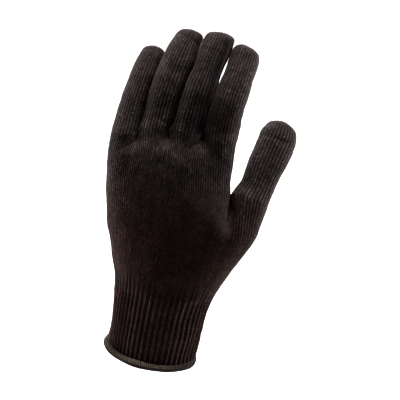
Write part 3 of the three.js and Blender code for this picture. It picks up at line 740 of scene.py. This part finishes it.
def build(name, outer_grids, inner_grids, rims, wall, slot):
    """A closed shell. outer_grids: (grid, first row, last row); inner_grids: (grid, rows); rims: (ids, facing up)."""
    faces, uvs, vert_ids = [], [], []
    for g, a, b in outer_grids:
        idx = ids[g][a:b + 1]
        faces.append(quads(idx))
        uu = np.arange(idx.shape[1]) / COLUMNS
        vv = courses[g][a:b + 1]
        u0, v0 = np.meshgrid(uu, vv[:-1])
        _, v1 = np.meshgrid(uu, vv[1:])
        du = 1 / COLUMNS
        uvs.append(np.stack([np.stack([u0, v0], -1), np.stack([u0 + du, v0], -1), np.stack([u0 + du, v1], -1),
                             np.stack([u0, v1], -1)], 2).reshape(-1, 4, 2))
    outer_faces = np.concatenate(faces)
    outer_uv = np.concatenate(uvs)
    inner_faces = []
    for g, rows in inner_grids:
        inner_faces.append(quads(fine_to_coarse(ids[g], rows))[:, ::-1])
    inner_faces = np.concatenate(inner_faces)
    used = np.unique(outer_faces)
    inner_used = np.unique(inner_faces)
    new_outer = np.full(total, -1); new_outer[used] = np.arange(len(used))
    new_inner = np.full(total, -1); new_inner[inner_used] = len(used) + np.arange(len(inner_used))
    inside = BASE[inner_used] + NORMAL[inner_used] * (height[inner_used] - wall - 0.26)[..., None]
    points = np.concatenate([OUTER[used], inside])
    rim_tris = []
    for idx, facing in rims:
        rim_tris.append(strip(new_outer[idx], new_inner[idx[::COLUMNS]], facing))
    rim_tris = np.concatenate(rim_tris)
    of, nf = new_outer[outer_faces], new_inner[inner_faces]
    loops = np.concatenate([of.ravel(), nf.ravel(), rim_tris.ravel()])
    starts = np.concatenate([np.arange(len(of)) * 4, len(of) * 4 + np.arange(len(nf)) * 4,
                             (len(of) + len(nf)) * 4 + np.arange(len(rim_tris)) * 3])
    mesh = bpy.data.meshes.new(name)
    mesh.vertices.add(len(points))
    mesh.vertices.foreach_set("co", (points * 0.001).astype(np.float32).ravel())
    mesh.loops.add(len(loops))
    mesh.loops.foreach_set("vertex_index", loops.astype(np.int32))
    mesh.polygons.add(len(starts))
    mesh.polygons.foreach_set("loop_start", starts.astype(np.int32))
    mesh.polygons.foreach_set("use_smooth", np.ones(len(starts), bool))
    uv = np.zeros((len(loops), 2), np.float32)
    uv[:len(of) * 4] = outer_uv.reshape(-1, 2)
    # the inner wall has the same stitches, seen from behind
    n_in = len(nf) * 4
    pos, start = 0, len(of) * 4
    for g, rows in inner_grids:
        cols = ids[g].shape[1] // COLUMNS
        vv = courses[g][rows]
        u0, v0 = np.meshgrid(np.arange(cols, dtype=float), vv[:-1])
        _, v1 = np.meshgrid(np.arange(cols, dtype=float), vv[1:])
        q = np.stack([np.stack([u0, v0], -1), np.stack([u0 + 1, v0], -1), np.stack([u0 + 1, v1], -1),
                      np.stack([u0, v1], -1)], 2).reshape(-1, 4, 2)[:, ::-1]
        uv[start:start + len(q) * 4] = q.reshape(-1, 2)
        start += len(q) * 4
    layer = mesh.uv_layers.new(name="knit")
    layer.uv.foreach_set("vector", uv.ravel())
    mesh.update(calc_edges=True)
    mesh.validate()
    # normals of the welded surface, so that no seam shows between pieces
    normal = np.zeros((len(loops), 3))
    normal[:len(of) * 4] = OUTER_NORMAL[outer_faces.ravel()]
    full = np.zeros((len(points), 3))
    full[new_inner[inner_used]] = -NORMAL[inner_used]
    normal[len(of) * 4:len(of) * 4 + n_in] = full[nf.ravel()]
    tri = points[rim_tris]
    rn = np.cross(tri[:, 1] - tri[:, 0], tri[:, 2] - tri[:, 0])
    rn /= np.maximum(np.linalg.norm(rn, axis=1), 1e-9)[:, None]
    normal[len(of) * 4 + n_in:] = np.repeat(rn, 3, axis=0)
    mesh.normals_split_custom_set(normal.tolist())
    for attribute, values in (("tone", tone), ("rib", rib), ("browner_and_darker", browner_and_darker)):
        layer = mesh.attributes.new(attribute, "FLOAT", "POINT")
        full = np.zeros(len(points), np.float32)
        full[:len(used)] = values[used]
        layer.data.foreach_set("value", full)
    obj = bpy.data.objects.new(name, mesh)
    bpy.context.scene.collection.objects.link(obj)
    obj["slot"] = slot
    print(name, len(of) * 2 + len(nf) * 2 + len(rim_tris), "triangles")
    return obj


pieces = {}
rows_c = coarse_rows(CUFF_LAST, 12)
pieces["cuff"] = build("knit_cuff", [("lower", 0, CUFF_LAST)], [("lower", rows_c)],
                       [(low[0], False), (low[CUFF_LAST], True)], CUFF_WALL, "rib_knit")
last = len(lower_s) - 1
rows_h = coarse_rows(last, 8, CUFF_LAST)
rows_u = coarse_rows(len(web_r) - 1, 6)
pieces["hand"] = build("knit_hand", [("lower", CUFF_LAST, last), ("upper", 0, len(web_r) - 1)],
                       [("lower", rows_h), ("upper", rows_u)],
                       [(low[CUFF_LAST], False)] + [(ids[n][0], True) for n in ORDER + ["thumb"]], WALL, "knit")
for name in ORDER + ["thumb"]:
    n_rows = ids[name].shape[0] - 1
    node = "thumb" if name == "thumb" else name + "_finger"
    pieces[node] = build("knit_" + node, [(name, 0, n_rows)], [(name, coarse_rows(n_rows, 9))],
                         [(ids[name][0], False)], WALL, "knit")

# ---------------------------------------------------------------- hem
HEM_LOOPS, LOOP_COLUMNS, ROLL_ROWS = 124, 8, 30


def hem_mesh():
    """The rolled edge under overlock thread: slanting loops of thread over a roll of cloth."""
    n = HEM_LOOPS * LOOP_COLUMNS
    q = np.arange(n) / n * 2 * np.pi
    psi = np.arange(ROLL_ROWS) / ROLL_ROWS * 2 * np.pi
    # equal steps of length round the mouth
    fine = np.linspace(0, 2 * np.pi, 4001)
    e = 2 / HEM["square"]
    def outline(a, out):
        c, s = np.cos(a), np.sin(a)
        return (HEM["x"] - np.sign(c) * np.abs(c) ** e * (HEM["across"] + out),
                -np.sign(s) * np.abs(s) ** e * (HEM["deep"] + out))
    x, y = outline(fine, 0)
    run = np.concatenate([[0], np.cumsum(np.hypot(np.diff(x), np.diff(y)))])
    a = np.interp(np.arange(n) / n * run[-1], run, fine)
    A, PSI = np.meshgrid(a, psi)
    loop, _ = np.meshgrid(np.arange(n) / LOOP_COLUMNS, psi)
    rng2 = np.random.default_rng(SEED + 7)
    wobble = rng2.normal(size=HEM_LOOPS) * 0.22
    slow = 0.16 * np.sin(A * 5 + 0.8) + 0.12 * np.sin(A * 9 + 2.1)
    over = 0.5 + 0.5 * np.cos(PSI - 1.05)                       # 1 where the thread shows, above and outside
    lean = loop + 0.55 * np.sin(PSI - 0.6) + wobble[(np.floor(loop).astype(int)) % HEM_LOOPS] * 0.5
    ridge = np.abs(np.sin(np.pi * lean)) ** 0.7 - 0.6
    strand = 0.10 * np.sin(2 * np.pi * (lean * 3 + PSI * 2.0))
    h = (0.42 * ridge + 0.5 * strand) * (0.35 + 0.65 * over) + slow
    out = (HEM["roll_x"] + h) * np.cos(PSI)
    z = HEM["z"] + (HEM["roll_z"] - 0.05 + h * 0.8) * np.sin(PSI) + 0.35 * np.sin(A * 3 + 0.4) * 0.6
    X, Y = outline(A, 0)
    z = z - HEM["tilt"] * (X - HEM["x"])
    X1, Y1 = outline(A, 1.0)
    X, Y = X + (X1 - X) * out, Y + (Y1 - Y) * out
    points = np.stack([X, Y, z], -1)
    idx = np.arange(ROLL_ROWS * n).reshape(ROLL_ROWS, n)
    b = np.roll(idx, -1, 0)
    faces = np.stack([idx, np.roll(idx, -1, 1), np.roll(b, -1, 1), b], -1).reshape(-1, 4)
    uv = np.stack([np.stack([loop, PSI * 3], -1)] * 4, 2).reshape(-1, 4, 2)
    p = points.reshape(-1, 3)
    # outward check on one face
    f = faces[0]
    nn = np.cross(p[f[2]] - p[f[0]], p[f[3]] - p[f[1]])
    centre = np.array([*[(outline(a, 0)[k][0]) for k in (0, 1)], HEM["z"]])
    if np.dot(nn, p[f[0]] - centre) < 0:
        faces = faces[:, ::-1]
    mesh = bpy.data.meshes.new("hem_roll")
    mesh.vertices.add(len(p))
    mesh.vertices.foreach_set("co", (p * 0.001).astype(np.float32).ravel())
    mesh.loops.add(len(faces) * 4)
    mesh.loops.foreach_set("vertex_index", faces.astype(np.int32).ravel())
    mesh.polygons.add(len(faces))
    mesh.polygons.foreach_set("loop_start", (np.arange(len(faces)) * 4).astype(np.int32))
    mesh.polygons.foreach_set("use_smooth", np.ones(len(faces), bool))
    layer = mesh.uv_layers.new(name="knit")
    layer.uv.foreach_set("vector", uv.astype(np.float32).ravel())
    # painted light: the hem's tone is lighter on the roll's upper side, on the raised ridges of the thread's loops and
    # over the middle of the front, and darker at the front's ends
    upper_band_light = 0.65 + 0.7 * np.exp(-((PSI - 1.25) / 0.45) ** 2) + 0.35 * np.exp(-((PSI - 0.2) / 0.3) ** 2)
    front = 0.13 + 1.15 * np.exp(-((X + 2.0) / 15.0) ** 2) * (Y < 0) + 0.30 * (Y >= 0) - 0.06 * smooth(14.0, 26.0, X)
    lit = np.clip((h - slow) / 0.17 + 0.45, 0.03, 2.2) * upper_band_light * front
    for attribute, values in (("thread", over), ("tone", lit * 1.6), ("rib", over * 0), ("browner_and_darker", 0.35 + 0 * over)):
        at = mesh.attributes.new(attribute, "FLOAT", "POINT")
        at.data.foreach_set("value", values.astype(np.float32).ravel())
    mesh.update(calc_edges=True)
    mesh.validate()
    obj = bpy.data.objects.new("hem_roll", mesh)
    bpy.context.scene.collection.objects.link(obj)
    print("hem_roll", len(faces) * 2, "triangles")
    return obj


pieces["hem"] = hem_mesh()


# ---------------------------------------------------------------- materials
def node(tree, kind, at, **values):
    n = tree.nodes.new(kind)
    n.location = at
    for key, value in values.items():
        if hasattr(n, key) and key not in n.inputs:
            setattr(n, key, value)
        else:
            n.inputs[key].default_value = value
    return n


def math_node(tree, op, a, b=None, at=(0, 0), clamp=False):
    n = tree.nodes.new("ShaderNodeMath")
    n.operation, n.location, n.use_clamp = op, at, clamp
    for k, v in enumerate((a, b)):
        if v is None:
            continue
        if isinstance(v, (int, float)):
            n.inputs[k].default_value = v
        else:
            tree.links.new(v, n.inputs[k])
    return n.outputs[0]


def knit_material(name, dark, light, sheen):
    """Heathered yarn: speckled fibres, with painted shade between the stitches and down in the rib furrows, soft fuzz
    at grazing angles.
    """
    mat = bpy.data.materials.new(name)
    mat.use_nodes = True
    t = mat.node_tree
    t.nodes.clear()
    out = t.nodes.new("ShaderNodeOutputMaterial")
    bsdf = t.nodes.new("ShaderNodeBsdfPrincipled")
    t.links.new(bsdf.outputs[0], out.inputs[0])
    bsdf.inputs["Roughness"].default_value = 0.92
    bsdf.inputs["Specular IOR Level"].default_value = 0.05
    bsdf.inputs["Sheen Weight"].default_value = sheen
    bsdf.inputs["Sheen Roughness"].default_value = 0.35
    bsdf.inputs["Sheen Tint"].default_value = (0.80, 0.62, 0.63, 1)
    coord = t.nodes.new("ShaderNodeTexCoord")
    fleck = t.nodes.new("ShaderNodeTexNoise")
    fleck.inputs["Scale"].default_value = 1100.0
    fleck.inputs["Detail"].default_value = 3.0
    fleck.inputs["Roughness"].default_value = 0.65
    t.links.new(coord.outputs["Object"], fleck.inputs["Vector"])
    cloud = t.nodes.new("ShaderNodeTexNoise")
    cloud.inputs["Scale"].default_value = 90.0
    cloud.inputs["Detail"].default_value = 2.0
    t.links.new(coord.outputs["Object"], cloud.inputs["Vector"])
    yarn = t.nodes.new("ShaderNodeAttribute")
    yarn.attribute_name = "tone"
    furrow = t.nodes.new("ShaderNodeAttribute")
    furrow.attribute_name = "rib"
    speck = math_node(t, "SUBTRACT", fleck.outputs["Fac"], 0.30)
    speck = math_node(t, "MULTIPLY", speck, 3.2, clamp=True)
    soft = math_node(t, "ADD", math_node(t, "MULTIPLY", cloud.outputs["Fac"], 0.9), 0.25)
    # painted shade: the colour darkens down into each rib's furrow
    rib_shade = math_node(t, "SUBTRACT", 1.0, math_node(t, "MULTIPLY", furrow.outputs["Fac"], 0.92), clamp=True)
    mixed = math_node(t, "MULTIPLY", math_node(t, "ADD", math_node(t, "MULTIPLY", speck, 0.55), 0.45), yarn.outputs["Fac"])
    mixed = math_node(t, "MULTIPLY", math_node(t, "MULTIPLY", mixed, soft), rib_shade)
    mixed = math_node(t, "MULTIPLY", mixed, 0.5, clamp=True)
    ramp = t.nodes.new("ShaderNodeMix")
    ramp.data_type = "RGBA"
    ramp.inputs[6].default_value = (*dark, 1)
    ramp.inputs[7].default_value = (*light, 1)
    t.links.new(mixed, ramp.inputs[0])
    # the tint browns and darkens the colour from the cuff to the middle of the hand: partly the yarn's own colour,
    # partly painted shade
    browner_and_darker_node = t.nodes.new("ShaderNodeAttribute")
    browner_and_darker_node.attribute_name = "browner_and_darker"
    tint = t.nodes.new("ShaderNodeMix")
    tint.data_type, tint.blend_type = "RGBA", "MULTIPLY"
    tint.inputs[7].default_value = (0.80, 0.53, 0.46, 1)
    t.links.new(browner_and_darker_node.outputs["Fac"], tint.inputs[0])
    t.links.new(ramp.outputs[2], tint.inputs[6])
    t.links.new(tint.outputs[2], bsdf.inputs["Base Color"])
    # fibres: fine strands across the yarn
    uv = t.nodes.new("ShaderNodeUVMap")
    uv.uv_map = "knit"
    fibre = node(t, "ShaderNodeTexNoise", (-900, -600))
    fibre.inputs["Scale"].default_value = 2600.0
    fibre.inputs["Detail"].default_value = 2.0
    t.links.new(coord.outputs["Object"], fibre.inputs["Vector"])
    wave = t.nodes.new("ShaderNodeTexWave")
    wave.inputs["Scale"].default_value = 1.3
    wave.inputs["Distortion"].default_value = 2.5
    wave.inputs["Detail"].default_value = 1.0
    t.links.new(uv.outputs["UV"], wave.inputs["Vector"])
    total_h = math_node(t, "ADD", math_node(t, "MULTIPLY", fibre.outputs["Fac"], 0.7), math_node(t, "MULTIPLY", wave.outputs["Fac"], 0.3))
    bump = t.nodes.new("ShaderNodeBump")
    bump.inputs["Strength"].default_value = 0.55
    bump.inputs["Distance"].default_value = 0.00022
    t.links.new(total_h, bump.inputs["Height"])
    t.links.new(bump.outputs["Normal"], bsdf.inputs["Normal"])
    return mat


def hem_material():
    mat = knit_material("overlock_thread", (0.0035, 0.0030, 0.0022), (0.42, 0.39, 0.30), 0.04)
    t = mat.node_tree
    at = t.nodes.new("ShaderNodeAttribute")
    at.attribute_name = "thread"
    bsdf = next(n for n in t.nodes if n.type == "BSDF_PRINCIPLED")
    link = bsdf.inputs["Base Color"].links[0]
    source = link.from_socket
    mix = t.nodes.new("ShaderNodeMix")
    mix.data_type = "RGBA"
    mix.inputs[6].default_value = (0.011, 0.007, 0.0065, 1)
    span = t.nodes.new("ShaderNodeMapRange")
    span.inputs["From Min"].default_value = 0.82
    span.inputs["From Max"].default_value = 0.92
    t.links.new(at.outputs["Fac"], span.inputs["Value"])
    t.links.new(span.outputs["Result"], mix.inputs[0])
    t.links.new(source, mix.inputs[7])
    t.links.new(mix.outputs[2], bsdf.inputs["Base Color"])
    return mat


KNIT = knit_material("knit_yarn", (0.0020, 0.0008, 0.0006), (0.112, 0.086, 0.080), 0.13)
# the cuff's copy of the same yarn is painted lighter, as painted light on its rib crests
RIB_PAINTED_LIGHTER = knit_material("rib_yarn_painted_lighter", (0.0020, 0.0008, 0.0006), (0.185, 0.142, 0.136), 0.14)
HEM_MAT = hem_material()

for node_name, obj in pieces.items():
    obj.data.materials.append({"hem": HEM_MAT, "cuff": RIB_PAINTED_LIGHTER}.get(node_name, KNIT))
    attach(obj, "root")
    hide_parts(node_name)

# ---------------------------------------------------------------- floor, light and camera
FLOOR_Z = -0.45
floor_mesh = bpy.data.meshes.new("floor")
floor_mesh.from_pydata([(-5, -5, FLOOR_Z), (5, -5, FLOOR_Z), (5, 5, FLOOR_Z), (-5, 5, FLOOR_Z)], [], [(0, 1, 2, 3)])
floor = bpy.data.objects.new("floor", floor_mesh)
bpy.context.scene.collection.objects.link(floor)
pale = bpy.data.materials.new("pale_floor")
pale.use_nodes = True
pale.node_tree.nodes["Principled BSDF"].inputs["Base Color"].default_value = (0.92, 0.92, 0.92, 1)
pale.node_tree.nodes["Principled BSDF"].inputs["Roughness"].default_value = 0.95
pale.node_tree.nodes["Principled BSDF"].inputs["Specular IOR Level"].default_value = 0.1
floor_mesh.materials.append(pale)

# Soft lights: name, where, what they face, width, height, power.
LIGHTS = dict(cols=("name", "x", "y", "z", "tx", "ty", "tz", "wide", "high", "power"), rows=[
    ("overhead", 0.0, 0.40, 1.5, 0.0, 0.05, 0.15, 0.8, 0.25, 45.5),
    ("overhead_right", 0.6, 0.33, 1.45, 0.0, 0.05, 0.15, 0.4, 0.3, 16.0),
    ("left_edge", -1.2, 0.35, 0.25, 0.0, 0.0, 0.12, 0.5, 1.2, 38.0),
    ("left", -1.15, 0.10, 0.22, 0.0, 0.0, 0.12, 0.3, 0.9, 17.0),
    ("right_edge", 1.2, 0.40, 0.15, 0.0, 0.0, 0.10, 0.5, 1.0, 38.0),
    ("backdrop", 0.0, 1.85, 0.42, 0.0, 1.85, -0.45, 1.3, 3.0, 32.0),
])
for row in LIGHTS["rows"]:
    l = dict(zip(LIGHTS["cols"], row))
    data = bpy.data.lights.new(l["name"], "AREA")
    data.shape, data.size, data.size_y, data.energy = "RECTANGLE", l["wide"], l["high"], l["power"]
    lamp = bpy.data.objects.new(l["name"], data)
    bpy.context.scene.collection.objects.link(lamp)
    lamp.location = (l["x"], l["y"], l["z"])
    lamp.rotation_euler = (Vector((l["tx"], l["ty"], l["tz"])) - lamp.location).to_track_quat("-Z", "Y").to_euler()

world = bpy.data.worlds.new("studio")
bpy.context.scene.world = world
world.use_nodes = True
world.node_tree.nodes["Background"].inputs[0].default_value = (1, 1, 1, 1)
world.node_tree.nodes["Background"].inputs[1].default_value = 0.04
bpy.context.scene.view_settings.view_transform = "Standard"

# The camera looks along +Y and 22 degrees down, rolled so that the glove leans to the right.
ROLL, DISTANCE, HALF_VIEW = 10.8, 1500.0, 148.0
e, r = math.radians(ELEVATION), math.radians(ROLL)
forward = np.array([0, math.cos(e), -math.sin(e)])
level, rise = np.array([1.0, 0, 0]), np.array([0, math.sin(e), math.cos(e)])
depth0 = float(np.mean(grids["lower"].reshape(-1, 3) @ forward))
target = 14.3 * level + 119.556 * rise + depth0 * forward
right = math.cos(r) * level + math.sin(r) * rise
upward = -math.sin(r) * level + math.cos(r) * rise
eye = target - DISTANCE * forward
cam_data = bpy.data.cameras.new("camera")
cam_data.sensor_width = 36.0
cam_data.lens = 36.0 * DISTANCE / (2 * HALF_VIEW)
cam_data.clip_start, cam_data.clip_end = 0.05, 30.0
camera = bpy.data.objects.new("camera", cam_data)
bpy.context.scene.collection.objects.link(camera)
m = Matrix((right, upward, -forward)).transposed().to_4x4()
m.translation = Vector(eye * 0.001)
camera.matrix_world = m
bpy.context.scene.camera = camera

bpy.context.view_layer.update()
